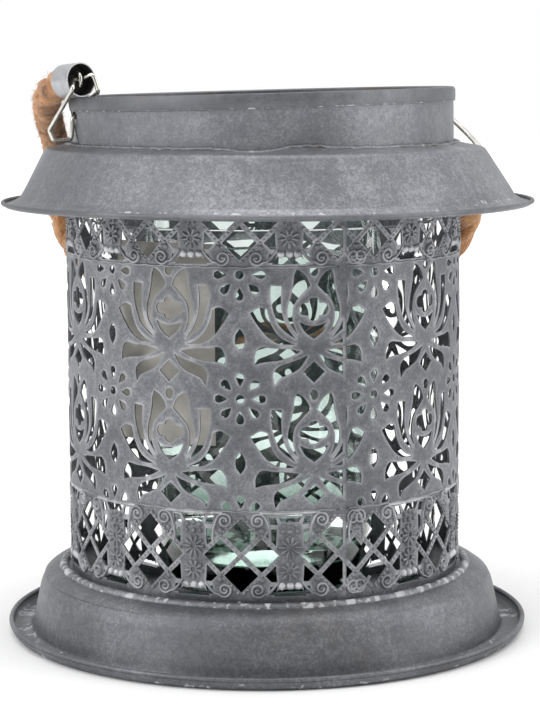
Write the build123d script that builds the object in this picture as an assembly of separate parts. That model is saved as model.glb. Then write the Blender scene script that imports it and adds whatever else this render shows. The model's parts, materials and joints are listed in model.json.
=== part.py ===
from build123d import *
import os
from math import cos, pi, radians, sin, tan

# Candle lantern: a pressed tray base, a pierced sheet body, a flared roof ring and a hemmed collar,
# with a glass cylinder inside and a rope handle on two wire links.
# Millimetres. Origin: centre of the circle that the lantern stands on. +Z up, -Y is the front.

# ---- driving dimensions --------------------------------------------------------------------------
SHEET = 0.8  # steel sheet of the base, roof and collar
BODY_R = 73.3  # outside of the pierced body
BODY_SHEET = 0.7
FLOOR_Z = 24.0  # top of the base's floor, which the body and the glass stand on
BODY_TOP = 182.1  # the body meets the underside of the roof

BASE_R = 98.5
ROOF_R = 99.0
COLLAR_R = 71.3
COLLAR_FOOT = 176.0
COLLAR_TOP = 201.7
COLLAR_LEAN = 1.3  # degrees: the collar's strip was rolled slightly out of square
HEM_HEIGHT = 4.6
HEM_SHEET = 0.7

COLUMN = 40.25  # degrees from one lotus column to the next
CELL = COLUMN * 2 / 3  # degrees from one lattice cell to the next
SEAM = 22.5  # degrees: where the body's sheet laps over itself
STRIP_START = 31.7  # degrees: middle of the first lattice cell after the seam
HUB_ROWS = (71.5, 114.6)  # heights of the lotus hubs
BAND_ROWS = (41.8, 158.3)  # mid heights of the two lattice bands
BAND_HALF = 15.3
FIELD = (BAND_ROWS[0] + BAND_HALF + 0.6, BAND_ROWS[1] - BAND_HALF - 0.6)
SEAM_MARGIN = 0.7

GLASS_R = 65.0
GLASS_WALL = 2.6
GLASS_FLOOR = 9.0
GLASS_HEIGHT = 131.0
LABEL_ARC = 38.0  # degrees
LABEL_SPAN = (79.0, 150.0)  # heights of the label's lower and upper edges
LABEL_SHEET = 0.25
LABEL_ANGLE = -34.0

PIVOT_Z = 193.4  # height of the two handle holes
PIVOT_ANGLE = -70.0  # degrees: left hole; the right one is opposite
HOLE_R = 2.6
WIRE = 1.6  # wire of the links
WIRE_BEND = 1.5  # bends of the links
WIRE_GAP = 0.2  # between the ends of a bent link
FERRULE_R = 6.1
FERRULE_WALL = 0.4
FERRULE_LENGTH = 10.5
SOCKET = 4.0  # depth that the rope goes into its ferrule
WEB = 0.8
ROPE = 11.0  # rope diameter

# Rope from the left ferrule to the right one: over the roof's back edge, hanging behind the body.
ROPE_POINTS = [
    (-77.5, -18.9, 203.3),
    (-80.6, -2.0, 197.4),
    (-81.8, 24.0, 189.4),
    (-82.5, 57.0, 179.5),
    (-84.5, 84.0, 166.0),
    (-84.0, 96.0, 141.0),
    (-66.0, 96.0, 119.5),
    (-36.0, 92.0, 118.5),
    (-4.0, 90.0, 118.0),
    (28.0, 91.5, 118.0),
    (54.0, 93.0, 118.5),
    (77.5, 93.0, 131.5),
    (86.0, 81.0, 151.5),
]
LEFT_MOUTH = Vector(-64.4, -36.0, 206.7)
LEFT_AIM = Vector(0.61, -0.785, 0.06).normalized()  # out of the left ferrule's mouth
RIGHT_MOUTH = Vector(84.8, 56.2, 170.4)
RIGHT_AIM = Vector(-0.05, -0.74, 0.67).normalized()


# ---- helpers -------------------------------------------------------------------------------------
def save(part, name):
    part.label = name
    export_step(part, f"parts/{name}.step", write_pcurves=False)


def turned(points, radii, sheet, side):
    """Sheet-metal ring or dish: an open outline in (radius, height), thickened and turned about Z."""
    line = FilletPolyline(*points, radius=radii)
    outline = line.wire().offset_2d(sheet, side=side, closed=True)
    return revolve(Plane.XZ * make_face(outline), Axis.Z)


def tube(outer, wall, low, high):
    return Pos(0, 0, low) * extrude(Circle(outer) - Circle(outer - wall), high - low)


def on_body(angle, height, radius=BODY_R):
    """Plane that touches the body's wall: x runs round it to the right, y up, z outwards."""
    a = radians(angle)
    out = Vector(sin(a), -cos(a), 0)
    return Plane(origin=out * radius + Vector(0, 0, height), x_dir=(cos(a), sin(a), 0), z_dir=out)


def polygon(*corners):
    return make_face(Polyline(*corners, close=True))


def mirrored(face):
    return [face, mirror(face, Plane.YZ)]


# ---- openings of the lotus field, drawn about a hub ----------------------------------------------
def bud():
    """Four-lobed opening."""
    return polygon((0, 4.1), (2.0, 2.2), (5.2, 0), (2.0, -2.2), (0, -4.1), (-2.0, -2.2), (-5.2, 0), (-2.0, 2.2))


def heart():
    return polygon((-5.2, 9.2), (0, 7.7), (5.2, 9.2), (0, 3.1))


def inner_petal():
    return polygon((6.1, 27.4), (7.3, 22.0), (9.2, 13.6), (5.9, 5.0), (7.5, 12.2), (6.6, 15.8), (1.2, 21.8))


def outer_petal():
    return polygon((14.9, 21.9), (14.5, 14.4), (11.6, 7.3), (6.4, 3.1), (10.4, 9.6), (11.3, 21.7))


def side_leaf():
    return polygon((22.2, 12.4), (18.6, 6.8), (12.4, 1.7), (6.6, 1.3), (13.2, 5.4), (16.4, 13.7))


def side_petal():
    return polygon((4.4, -1.0), (14.0, 0.1), (18.6, 0.5), (20.6, -5.6), (12.6, -4.2))


def low_petal():
    return polygon((1.9, -2.3), (9.0, -5.0), (14.2, -8.8), (13.7, -12.9), (8.4, -8.9))


def diamond(half_width, half_height):
    return polygon((0, half_height), (half_width, 0), (0, -half_height), (-half_width, 0))


def lotus():
    faces = [Pos(0, 13.5) * bud(), heart(), Pos(0, -8.35) * diamond(3.9, 3.75)]
    for petal in (inner_petal, outer_petal, side_leaf, side_petal, low_petal):
        faces += mirrored(petal())
    return faces


def lattice_cell():
    """Four openings of a lattice cell, drawn about its middle."""
    return [Pos(x, y) * diamond(6.0, 6.0) for x, y in ((0, 7.2), (0, -7.2), (7.2, 0), (-7.2, 0))]


# ---- the body ------------------------------------------------------------------------------------
def clipped(face, turn_left, turn_right, low, high):
    """The part of an opening between two distances round the body and two heights."""
    box = face.bounding_box()
    if box.min.X > turn_left and box.max.X < turn_right and box.min.Y > low and box.max.Y < high:
        return face
    window = Pos((turn_left + turn_right) / 2, (low + high) / 2) * Rectangle(turn_right - turn_left, high - low)
    return face & window


def cutters(faces, angle, height, low, high):
    """Radial prisms for openings drawn about a point of the strip."""
    per_degree = radians(1) * BODY_R
    left = (SEAM - angle) * per_degree + SEAM_MARGIN
    right = (SEAM + 360 - angle) * per_degree - SEAM_MARGIN
    prisms = []
    for face in faces:
        kept = clipped(face, left, right, low - height, high - height)
        for piece in (kept.faces() if kept else []):
            if piece.area < 1.0:
                continue
            middle = piece.center().X
            plane = on_body(angle + middle / per_degree, height)
            flat = Pos(-middle, 0) * piece
            prisms.append(plane * extrude(flat, 2.2, both=True))
    return prisms


def openwork_body():
    sheet = tube(BODY_R, BODY_SHEET, FLOOR_Z, BODY_TOP)
    holes = []
    for k in range(-1, 10):
        for hub in HUB_ROWS:
            holes += cutters(lotus(), STRIP_START + COLUMN * (k + 0.5), hub, *FIELD)
    for k in range(-1, 15):
        for band in BAND_ROWS:
            holes += cutters(lattice_cell(), STRIP_START + CELL * k, band, band - BAND_HALF, band + BAND_HALF)
    print("openings in the body:", len(holes))
    return Solid(sheet.solid().cut(*[hole.solid() for hole in holes]).wrapped)


# ---- turned sheet parts --------------------------------------------------------------------------
def base_pan():
    lip = (BASE_R - SHEET, 3.6)
    points = [(0, FLOOR_Z), (84.5, FLOOR_Z), (89.6, SHEET), (96.2, SHEET), lip]
    pan = turned(points, [10, 2.5, 2.2], SHEET, Side.RIGHT)
    bead = Pos(0, 0, FLOOR_Z - 0.2) * Torus(76.4, 1.7)
    above_floor = Pos(0, 0, FLOOR_Z + 4.9) * Cylinder(90, 10)
    return pan + (bead & above_floor)


def roof_brim():
    points = [(COLLAR_R + 0.4, 183.3), (81.8, 181.3), (92.3, 163.4), (97.2, 160.6), (ROOF_R, 162.4)]
    return turned(points, [3, 3, 1.2], SHEET, Side.RIGHT)


def collar():
    strip = tube(COLLAR_R, SHEET, COLLAR_FOOT, COLLAR_TOP)
    hem = tube(COLLAR_R + HEM_SHEET, HEM_SHEET, COLLAR_TOP - HEM_HEIGHT, COLLAR_TOP)
    leaning = Pos(0, 0, COLLAR_FOOT) * Rot(0, -COLLAR_LEAN, 0) * Pos(0, 0, -COLLAR_FOOT) * (strip + hem)
    pivot = on_body(PIVOT_ANGLE, PIVOT_Z, 0)
    return leaning - pivot * Cylinder(HOLE_R, 4 * COLLAR_R)


def glass_insert():
    outside = Pos(0, 0, FLOOR_Z + GLASS_HEIGHT / 2) * Cylinder(GLASS_R, GLASS_HEIGHT)
    outside = fillet(outside.edges().group_by(Axis.Z)[0], 3.0)
    hollow_height = GLASS_HEIGHT - GLASS_FLOOR
    hollow = Cylinder(GLASS_R - GLASS_WALL, hollow_height + 2)
    glass = outside - Pos(0, 0, FLOOR_Z + GLASS_FLOOR + hollow_height / 2 + 1) * hollow
    return fillet(glass.edges().group_by(Axis.Z)[-1], 1.0)


def glass_label():
    low, high = LABEL_SPAN
    ring = tube(GLASS_R + LABEL_SHEET + 0.02, LABEL_SHEET, low, high)
    half = radians(LABEL_ARC / 2)
    reach = 2 * GLASS_R
    wedge = polygon((0, 0), (reach * sin(half), -reach * cos(half)), (-reach * sin(half), -reach * cos(half)))
    return ring & (Rot(0, 0, LABEL_ANGLE) * extrude(wedge, BODY_TOP))


# ---- the handle ----------------------------------------------------------------------------------
def at_hole(angle, out, round_, up):
    """Point beside a handle hole: outwards from the collar, to the right along it, and up."""
    a = radians(angle)
    return (
        (COLLAR_R + out) * sin(a) + round_ * cos(a),
        -(COLLAR_R + out) * cos(a) + round_ * sin(a),
        PIVOT_Z + up,
    )


def wire(points):
    """Round wire along a run of points, with even bends."""
    path = FilletPolyline(*points, radius=WIRE_BEND)
    return sweep(Plane(origin=path @ 0, z_dir=path % 0) * Circle(WIRE / 2), path=path)


def bent_wire(points):
    """Wire link, bent round to a butt joint between its last point and its first."""
    first, last = Vector(*points[0]), Vector(*points[-1])
    middle = (first + last) / 2
    gap = (first - last).normalized() * WIRE_GAP / 2
    return wire([middle + gap, *points, middle - gap])


def at_mouth(mouth, aim, out, outwards, up):
    """Point beside a ferrule's mouth: out of it, across it away from the collar, and up."""
    across = aim.cross(Vector(0, 0, 1)).normalized()
    return mouth + aim * out + across * outwards + across.cross(aim) * up


def link_left():
    """Closed wire link: out through the hole, up through the rope's eye, back down inside the collar."""
    outside = [(-2.7, 0.0, 0.0), (1.8, 0.0, 0.0), (2.4, 0.0, -8.4), (8.9, 0.0, -8.6), (10.5, 0.0, -4.8)]
    crossing = [(2.6, 5.4, -3.4), (-2.4, 2.1, -0.1), (-2.4, -1.6, 0.4), (1.8, -3.8, 2.0), (2.6, -5.4, -4.6)]
    points = [at_hole(PIVOT_ANGLE, *place) for place in outside]
    points += [at_mouth(LEFT_MOUTH, LEFT_AIM, *place) for place in crossing]
    points += [at_hole(PIVOT_ANGLE, -2.9, -0.6, 5.0)]
    return bent_wire(points)


def link_right():
    """Wire link that hangs outwards: a loop in the rope's eye, its two ends bent apart inside the collar."""
    first = [(-2.7, -4.8, 0.0), (-2.7, -1.1, 0.0), (3.0, -1.1, -0.3), (12.0, -1.4, -8.4), (22.5, 7.5, -15.0)]
    loop = [(2.2, -3.6, 0.8), (-2.4, -1.9, 0.0), (-2.4, 1.9, 0.0), (2.2, 3.4, 0.6)]
    second = [(23.0, 10.0, -13.4), (11.0, 1.6, -5.8), (4.4, 1.2, -0.6), (-2.7, 1.1, 0.0), (-2.7, 4.8, 0.0)]
    points = [at_hole(PIVOT_ANGLE + 180, *place) for place in first]
    points += [at_mouth(RIGHT_MOUTH, RIGHT_AIM, *place) for place in loop]
    points += [at_hole(PIVOT_ANGLE + 180, *place) for place in second]
    return wire(points)


def ferrule(mouth, aim):
    """Cap crimped on a rope end: an open mouth, a web, and the socket that holds the rope."""
    shell = Cylinder(FERRULE_R, FERRULE_LENGTH, align=(Align.CENTER, Align.CENTER, Align.MAX))
    inner = FERRULE_R - FERRULE_WALL
    mouth_depth = FERRULE_LENGTH - SOCKET - WEB
    shell -= Cylinder(inner, mouth_depth, align=(Align.CENTER, Align.CENTER, Align.MAX))
    socket = Cylinder(inner, SOCKET, align=(Align.CENTER, Align.CENTER, Align.MIN))
    shell -= Pos(0, 0, -FERRULE_LENGTH) * socket
    return Plane(origin=mouth, z_dir=aim) * shell


def rope_seat(mouth, aim):
    """Where the rope's end meets the ferrule's web, and where it comes out of the ferrule."""
    return mouth - aim * (FERRULE_LENGTH - SOCKET), mouth - aim * FERRULE_LENGTH


def rope_eye(mouth, aim):
    """Staple in the rope's end: two legs from the web and a bow that holds the link."""
    root = -(FERRULE_LENGTH - SOCKET - WEB)
    legs = [(root, 2.6), (-0.6, 2.6), (-0.6, -2.6), (root, -2.6)]
    points = [at_mouth(mouth, aim, out, 0, rise) for out, rise in legs]
    bow = FilletPolyline(*points, radius=2.0)
    return sweep(Plane(origin=points[0], z_dir=aim) * Circle(0.7), path=bow)


def tangent_radii(points):
    """The largest even bends: 0.45 of the shorter run beside each point."""
    radii = []
    for before, here, after in zip(points, points[1:], points[2:]):
        run_in = here - before
        run_out = after - here
        half_turn = radians(run_in.get_angle(run_out)) / 2
        radii.append(0.45 * min(run_in.length, run_out.length) / tan(half_turn))
    return radii


def handle_rope():
    left_seat, left_end = rope_seat(LEFT_MOUTH, LEFT_AIM)
    right_seat, right_end = rope_seat(RIGHT_MOUTH, RIGHT_AIM)
    points = [left_end] + [Vector(*point) for point in ROPE_POINTS] + [right_end]
    radii = tangent_radii(points)
    print("rope bend radii:", [round(radius, 1) for radius in radii])
    path = FilletPolyline(*points, radius=radii)
    print("rope length between ferrules:", round(path.length, 1))
    rope = sweep(Plane(origin=left_end, z_dir=path % 0) * Circle(ROPE / 2), path=path)
    section = pi * ROPE**2 / 4
    print("rope volume over section times length:", round(rope.volume / (section * path.length), 4))
    return rope + handle_end(left_seat, left_end) + handle_end(right_seat, right_end)


def handle_end(seat, end):
    """The rope's end inside its ferrule."""
    return extrude(Plane(origin=seat, z_dir=end - seat) * Circle(ROPE / 2), (end - seat).length)


# ---- build ---------------------------------------------------------------------------------------
def main():
    os.makedirs("parts", exist_ok=True)
    save(base_pan(), "base_pan")
    save(openwork_body(), "openwork_body")
    save(roof_brim(), "roof_brim")
    save(collar(), "collar")
    save(glass_insert(), "glass_insert")
    save(glass_label(), "glass_label")
    save(handle_rope(), "handle_rope")
    save(link_left(), "link_left")
    save(link_right(), "link_right")
    for side, mouth, aim in (("left", LEFT_MOUTH, LEFT_AIM), ("right", RIGHT_MOUTH, RIGHT_AIM)):
        save(ferrule(mouth, aim), f"ferrule_{side}")
        save(rope_eye(mouth, aim), f"rope_eye_{side}")


main()
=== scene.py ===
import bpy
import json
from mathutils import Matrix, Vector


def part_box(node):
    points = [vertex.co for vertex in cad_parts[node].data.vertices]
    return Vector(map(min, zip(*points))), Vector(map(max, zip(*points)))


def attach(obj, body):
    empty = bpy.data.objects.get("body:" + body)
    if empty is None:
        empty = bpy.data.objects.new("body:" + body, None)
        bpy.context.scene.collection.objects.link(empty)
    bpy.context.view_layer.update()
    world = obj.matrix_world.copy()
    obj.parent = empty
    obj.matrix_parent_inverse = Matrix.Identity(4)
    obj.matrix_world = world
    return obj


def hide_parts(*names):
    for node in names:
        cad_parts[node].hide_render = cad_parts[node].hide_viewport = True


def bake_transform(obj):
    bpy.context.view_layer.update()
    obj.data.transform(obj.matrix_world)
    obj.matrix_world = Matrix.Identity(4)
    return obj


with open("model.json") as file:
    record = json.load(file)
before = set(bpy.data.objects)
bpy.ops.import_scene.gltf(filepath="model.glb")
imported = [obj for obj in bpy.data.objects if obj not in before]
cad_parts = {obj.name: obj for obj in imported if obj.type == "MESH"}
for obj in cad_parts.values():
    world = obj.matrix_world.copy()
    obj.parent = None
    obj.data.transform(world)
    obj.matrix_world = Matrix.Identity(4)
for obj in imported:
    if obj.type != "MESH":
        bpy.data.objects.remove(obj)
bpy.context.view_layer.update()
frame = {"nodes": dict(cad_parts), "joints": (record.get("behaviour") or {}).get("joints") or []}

import json
from math import atan2, ceil, cos, degrees, hypot, pi, radians, sin, tan

import bmesh
import bpy
import numpy as np
from mathutils import Matrix, Vector, geometry, kdtree, noise

MM = 0.001
rng = np.random.default_rng(7)
nodes = frame["nodes"]


def size(node):
    """Lowest and highest corner of a CAD node, in millimetres."""
    low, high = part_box(node)
    return np.array(low) / MM, np.array(high) / MM


# ---- sizes in millimetres, the main ones read from the frame -------------------------------------
BODY_R = size("openwork_body")[1][0]
BODY_LOW, BODY_HIGH = size("openwork_body")[0][2], size("openwork_body")[1][2]
BASE_R = size("base_pan")[1][0]
ROOF_R = size("roof_brim")[1][0]
COLLAR_R = 71.3
SHEET = 0.8
PIVOT_Z = frame["joints"][1]["pos_m"][2] / MM
COLUMN, SEAM, STRIP_START = 40.25, 22.5, 31.7  # degrees: lotus pitch, lap of the sheet, first daisies
CELL = COLUMN * 2 / 3  # degrees: pitch of the lattice cells
BANDS = (41.8, 158.3)  # mid heights of the two lattice bands
BAND_HALF = 15.3
FIELD_LOW, FIELD_HIGH = BANDS[0] + 15.9, BANDS[1] - 15.9
HUBS = (71.5, 114.6)  # heights of the lotus hubs
DAISY_DROP = 17.5  # from the hubs of a row down to its daisies
SEAM_MARGIN = 0.7
PER_DEGREE = radians(1) * BODY_R  # millimetres round the body
LACE_SHEET = 0.65
HEM_HEIGHT = 4.6
HOLE_R = 2.6
GLASS_WALL, GLASS_FLOOR = 2.6, 9
ROPE, ROPE_STEP = 11.0, 1.1
STRAND_R, STRAND_OUT, STRAND_LAY = 3.85, 1.55, 34  # a strand's radius, its offset, and its run per turn
CAP_BORE, CAP_DEPTH = 5.62, 5.62  # of a ferrule's mouth


# ---- materials -----------------------------------------------------------------------------------
class Shade:
    """A material and short calls that add nodes to it."""

    def __init__(self, name):
        self.material = bpy.data.materials.new(name)
        self.material.use_nodes = True
        self.tree = self.material.node_tree
        self.surface = self.tree.nodes["Principled BSDF"]
        self.place = self.add("ShaderNodeTexCoord").outputs["Object"]

    def add(self, kind, inputs=None, **settings):
        made = self.tree.nodes.new(kind)
        for key, value in settings.items():
            setattr(made, key, value)
        for key, value in (inputs or {}).items():
            self.feed(made.inputs[key], value)
        return made

    def feed(self, socket, value):
        if isinstance(value, bpy.types.NodeSocket):
            self.tree.links.new(value, socket)
        else:
            socket.default_value = value

    def set(self, **inputs):
        for key, value in inputs.items():
            self.feed(self.surface.inputs[key.replace("_", " ")], value)

    def noise(self, scale, detail=3.0, roughness=0.55, place=None):
        inputs = {"Vector": place or self.place, "Scale": scale, "Detail": detail, "Roughness": roughness}
        return self.add("ShaderNodeTexNoise", inputs).outputs[0]

    def spots(self, scale):
        return self.add("ShaderNodeTexVoronoi", {"Vector": self.place, "Scale": scale}).outputs["Distance"]

    def stretched(self, x, y, z):
        return self.add("ShaderNodeMapping", {0: self.place, 3: (x, y, z)}).outputs[0]

    def math(self, operation, a, b=0.0, clamp=False):
        return self.add("ShaderNodeMath", {0: a, 1: b}, operation=operation, use_clamp=clamp).outputs[0]

    def between(self, value, low, high, to_low=0.0, to_high=1.0):
        inputs = {0: value, 1: low, 2: high, 3: to_low, 4: to_high}
        return self.add("ShaderNodeMapRange", inputs, interpolation_type="SMOOTHSTEP").outputs[0]

    def ramp(self, value, stops):
        made = self.add("ShaderNodeValToRGB", {0: value})
        elements = made.color_ramp.elements
        while len(elements) < len(stops):
            elements.new(0.5)
        for element, (position, colour) in zip(elements, stops):
            element.position = position
            element.color = (*colour, 1)
        return made.outputs[0]

    def mix(self, amount, a, b):
        inputs = {}
        for index, value in ((0, amount), (6, a), (7, b)):
            inputs[index] = (*value, 1) if isinstance(value, tuple) else value
        return self.add("ShaderNodeMix", inputs, data_type="RGBA").outputs[2]

    def attribute(self, name):
        return self.add("ShaderNodeAttribute", attribute_name=name).outputs["Fac"]

    def bump(self, height, distance, strength=1.0, below=None):
        inputs = {"Height": height, "Distance": distance, "Strength": strength}
        if below is not None:
            inputs["Normal"] = below
        return self.add("ShaderNodeBump", inputs).outputs[0]


def zinc(name, light=1.0, grain=1.0, wear_and_highlight=0.0, dirt=0.0):
    """Dull dipped zinc sheet: a fine crystalline grain, cloudy patches, chalky patina where it is marked."""
    s = Shade(name)
    cloud = s.noise(26, 4, 0.6)
    fine = s.noise(1150, 3, 0.65)
    flakes = s.noise(430, 2, 0.5)
    tone = s.between(fine, 0.25, 0.75, 0.5 - 0.17 * grain, 0.5 + 0.17 * grain)
    tone = s.math("ADD", tone, s.between(flakes, 0.3, 0.7, -0.06 * grain, 0.06 * grain))
    tone = s.math("ADD", tone, s.between(cloud, 0.3, 0.7, -0.1, 0.1))
    dark, mid, pale = (0.075, 0.079, 0.088), (0.2, 0.206, 0.222), (0.5, 0.51, 0.535)
    stops = [(0.12, dark), (0.5, mid), (0.92, pale)]
    colour = s.ramp(tone, [(at, tuple(light * c for c in tint)) for at, tint in stops])
    chalk = s.attribute("patina")
    grains, cells = s.noise(480, 3, 0.65), s.spots(520)
    specks = s.math("ADD", s.math("MULTIPLY", grains, 0.8), s.math("MULTIPLY", cells, 0.35))
    white = s.between(s.math("SUBTRACT", s.math("ADD", chalk, specks), 1.0), -0.08, 0.1)
    # Lighter towards edges and raised relief: partly rubbed wear, partly painted highlight.
    if wear_and_highlight:
        edge = s.math("MULTIPLY", s.attribute("edge"), s.between(s.noise(140, 2), 0.25, 0.7, 0.35, 1.0))
        colour = s.mix(s.math("MULTIPLY", edge, wear_and_highlight), colour, (0.62, 0.63, 0.65))
    if dirt:
        brown = s.between(s.noise(34, 3, 0.5), 0.58, 0.72, 0.0, dirt)
        colour = s.mix(brown, colour, (0.16, 0.125, 0.09))
    colour = s.mix(s.math("MULTIPLY", white, 0.75), colour, (0.62, 0.63, 0.65))
    rough = s.math("ADD", s.between(fine, 0.3, 0.7, 0.46, 0.58), s.math("MULTIPLY", white, 0.2))
    relief = s.math("ADD", s.math("MULTIPLY", fine, 0.5), s.math("MULTIPLY", flakes, 0.5))
    relief = s.math("ADD", relief, s.math("MULTIPLY", white, 0.5))
    metal = s.between(white, 0.0, 1.0, 0.72, 0.1)
    s.set(Base_Color=colour, Roughness=rough, Metallic=metal)
    s.set(Normal=s.bump(relief, 0.00028 * grain + 0.00005, 0.5))
    return s.material


def wire_steel():
    s = Shade("wire_steel")
    scuff = s.noise(240, 3, 0.5)
    s.set(Base_Color=s.ramp(scuff, [(0.25, (0.5, 0.485, 0.44)), (0.7, (0.74, 0.72, 0.67))]))
    s.set(Roughness=s.between(scuff, 0.3, 0.7, 0.22, 0.32), Metallic=1.0)
    return s.material


def ferrule_steel():
    s = Shade("ferrule_steel")
    scuff = s.noise(320, 4, 0.6)
    s.set(Base_Color=s.ramp(scuff, [(0.25, (0.34, 0.345, 0.36)), (0.75, (0.48, 0.485, 0.5))]))
    s.set(Roughness=s.between(scuff, 0.3, 0.7, 0.3, 0.46), Metallic=0.85)
    s.set(Normal=s.bump(s.noise(900, 3), 0.00006, 0.3))
    return s.material


# Near-black for the inside of the ferrule mouths: painted shade in the hollow, not a real lining.
def painted_shade_lining():
    s = Shade("painted_shade_lining")
    s.set(Base_Color=s.ramp(s.noise(400, 3), [(0.3, (0.012, 0.011, 0.01)), (0.7, (0.03, 0.027, 0.024))]))
    s.set(Roughness=0.7)
    return s.material


def jute():
    s = Shade("jute")
    blotch = s.noise(170, 4, 0.65)
    fibre = s.noise(1500, 4, 0.7, s.stretched(1, 1, 0.6))
    tone = s.math("ADD", s.math("MULTIPLY", blotch, 0.75), s.math("MULTIPLY", fibre, 0.42))
    stops = [(0.38, (0.09, 0.037, 0.013)), (0.52, (0.38, 0.165, 0.06))]
    stops += [(0.66, (0.6, 0.31, 0.135)), (0.85, (0.74, 0.47, 0.26))]
    colour = s.ramp(tone, stops)
    # Darker between the strands: painted shade in the grooves.
    groove_shade = s.attribute("groove_shade")
    s.set(Base_Color=s.mix(s.math("MULTIPLY", groove_shade, 0.3), colour, (0.07, 0.035, 0.018)))
    s.set(Roughness=0.92, Sheen_Weight=0.35, Sheen_Roughness=0.5, Specular_IOR_Level=0.2)
    s.set(Normal=s.bump(s.math("ADD", fibre, s.math("MULTIPLY", blotch, 0.6)), 0.0009, 0.8))
    return s.material


def green_glass():
    s = Shade("green_glass")
    ripple = s.noise(40, 2)
    height = s.add("ShaderNodeSeparateXYZ", {0: s.place}).outputs[2]
    above = s.between(s.math("ADD", height, s.math("MULTIPLY", ripple, 0.01)), 0.038, 0.07)
    s.set(Base_Color=s.mix(above, (0.2, 0.29, 0.25), (0.78, 0.86, 0.83)))
    s.set(Roughness=0.015, IOR=1.48, Transmission_Weight=1.0)
    s.set(Normal=s.bump(ripple, 0.0009, 0.5))
    return s.material


def label_paper():
    s = Shade("label_paper")
    fibre = s.noise(260, 4, 0.6, s.stretched(1, 1, 2.2))
    blotch = s.noise(30, 3)
    tone = s.math("ADD", s.math("MULTIPLY", fibre, 0.4), s.math("MULTIPLY", blotch, 0.6))
    s.set(Base_Color=s.ramp(tone, [(0.3, (0.52, 0.5, 0.45)), (0.7, (0.7, 0.68, 0.62))]))
    s.set(Roughness=0.8, Specular_IOR_Level=0.25)
    s.set(Normal=s.bump(fibre, 0.0002, 0.3))
    return s.material


# Near-black for the collar's lap seam: painted shadow of the gap under the outer layer's end, partly oxide.
def lap_shadow_oxide():
    s = Shade("lap_shadow_oxide")
    s.set(Base_Color=s.ramp(s.noise(300, 3), [(0.3, (0.02, 0.022, 0.026)), (0.7, (0.07, 0.075, 0.085))]))
    s.set(Roughness=0.75)
    return s.material


def floor_paper():
    s = Shade("floor_paper")
    away = s.add("ShaderNodeVectorMath", {0: s.place}, operation="LENGTH").outputs["Value"]
    # The floor glows more the farther it is from the lantern: a painted brightening that fades it into the
    # white sky.
    s.set(Emission_Color=(1, 1, 1, 1), Emission_Strength=s.between(away, 0.35, 1.3, 0.0, 0.4))
    s.set(Base_Color=s.ramp(s.noise(3, 3), [(0.3, (0.9, 0.9, 0.9)), (0.7, (0.94, 0.94, 0.94))]))
    s.set(Roughness=0.8, Specular_IOR_Level=0.2)
    return s.material


# ---- meshes --------------------------------------------------------------------------------------
def piece(name, points, faces, material, body="shell", sharp=38, attributes=None):
    """A mesh piece from points in millimetres, riding on a body."""
    mesh = bpy.data.meshes.new(name)
    mesh.from_pydata((np.asarray(points, float) * MM).tolist(), [], faces)
    mesh.polygons.foreach_set("use_smooth", [True] * len(mesh.polygons))
    mesh.set_sharp_from_angle(angle=radians(sharp))
    for key, values in (attributes or {}).items():
        mesh.attributes.new(key, "FLOAT", "POINT").data.foreach_set("value", np.asarray(values, np.float32))
    mesh.materials.append(material)
    mesh.update()
    made = bpy.data.objects.new(name, mesh)
    bpy.context.scene.collection.objects.link(made)
    if body:
        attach(made, body)
    return made


class Pile:
    """Points and faces of many small solids, gathered into one piece."""

    def __init__(self):
        self.points = []
        self.faces = []
        self.marks = []

    def take(self, points, faces, mark=0.0):
        start = len(self.points)
        self.points.extend([tuple(point) for point in points])
        self.faces.extend([tuple(start + i for i in face) for face in faces])
        self.marks.extend([mark] * len(points))


def ring_faces(rings, count, closed_rings=True, loop=False):
    """Quads between rings of count points each."""
    faces = []
    last = rings if loop else rings - 1
    span = count if closed_rings else count - 1
    for i in range(last):
        a, b = i * count, ((i + 1) % rings) * count
        for j in range(span):
            k = (j + 1) % count
            faces.append((a + j, a + k, b + k, b + j))
    return faces


def rounded(points, radii, step=0.5):
    """Outline with its inner corners rounded."""
    points = [Vector(point) for point in points]
    line = [points[0]]
    for before, here, after, radius in zip(points, points[1:], points[2:], radii):
        inward, outward = (here - before).normalized(), (after - here).normalized()
        turn = inward.angle(outward)
        reach = radius * tan(turn / 2)
        steps = max(2, ceil(radius * turn / step))
        start, end = here - inward * reach, here + outward * reach
        for i in range(steps + 1):
            t = i / steps
            near = start.lerp(here, t).lerp(here.lerp(end, t), t)
            line.append(near)
    line.append(points[-1])
    return line


def refined(line, step):
    out = []
    for a, b in zip(line, line[1:]):
        parts = max(1, ceil((b - a).length / step))
        out.extend([a.lerp(b, i / parts) for i in range(parts)])
    return out + [line[-1]]


def thickened(line, sheet):
    """Closed outline: the line, and the same line moved to its right by the sheet's thickness."""
    moved = []
    for i, point in enumerate(line):
        along = (line[min(i + 1, len(line) - 1)] - line[max(i - 1, 0)]).normalized()
        moved.append(point + Vector((along.y, -along.x)) * sheet)
    return line + moved[::-1]


def lathe(outline, segments, shape, start=0.0, sweep=360.0):
    """Rings of a turned outline; shape moves each point (angle, radius, height) to its real place."""
    full = abs(sweep - 360) < 1e-6
    rings = segments if full else segments + 1
    points = []
    for i in range(rings):
        angle = start + sweep * i / segments
        for r, z in outline:
            a, r_moved, z_moved = shape(angle, r, z)
            points.append((r_moved * sin(radians(a)), -r_moved * cos(radians(a)), z_moved))
    faces = ring_faces(rings, len(outline), True, full)
    if not full:
        count = len(outline)
        faces.append(tuple(range(count)))
        faces.append(tuple((rings - 1) * count + j for j in reversed(range(count))))
    return points, faces


def wave(angle, turns, phase, seed=0.0):
    """Smooth waviness round a ring, -1 to 1."""
    a = radians(angle)
    return noise.noise(Vector((cos(a) * turns + seed, sin(a) * turns, phase)))


def oval(r, z, wide, tall, count):
    """Round or oval outline of a bead or a roll, about (radius, height)."""
    return [(r + wide * cos(t), z + tall * sin(t)) for t in np.linspace(0, 2 * pi, count + 1)[:-1]]


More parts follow.
